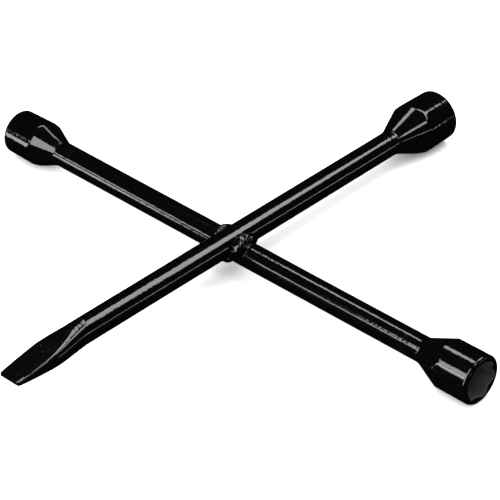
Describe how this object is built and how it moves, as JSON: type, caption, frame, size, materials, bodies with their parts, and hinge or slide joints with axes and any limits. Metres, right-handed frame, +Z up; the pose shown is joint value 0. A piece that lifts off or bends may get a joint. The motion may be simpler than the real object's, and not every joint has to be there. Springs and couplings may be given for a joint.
{
  "type": "four-way lug wrench",
  "caption": "Rigid cross-shaped wheel-nut wrench: crossed round bars welded together, hexagon sockets at the ends and a flat pry blade on the remaining arm, in gloss black enamel.",
  "frame": {"origin": "under the middle of the tool's box, at the height of the sockets it lies on", "axes": "+X along the upper bar towards its socket, -X towards the pry blade, +Y along the lower bar towards its smaller socket, +Z up"},
  "size_m": [0.3494, 0.3554, 0.0361],
  "materials": {
    "bar_enamel": "gloss black enamel over drawn bar, slight orange peel",
    "socket_enamel": "gloss black enamel over a forging, with a thin grey film over the broached steel inside the hexagon",
    "weld_enamel": "gloss black enamel over rippled weld metal"
  },
  "bodies": {
    "root": {"upper_bar": "bar_enamel", "lower_bar": "bar_enamel", "socket_seven_eighths": "socket_enamel", "socket_three_quarter": "socket_enamel", "socket_thirteen_sixteenths": "socket_enamel", "butt_weld_east": "weld_enamel", "butt_weld_north": "weld_enamel", "butt_weld_south": "weld_enamel", "fillet_weld_top_north": "weld_enamel", "fillet_weld_top_south": "weld_enamel", "fillet_weld_bottom_east": "weld_enamel", "fillet_weld_bottom_west": "weld_enamel"}
  },
  "joints": []
}
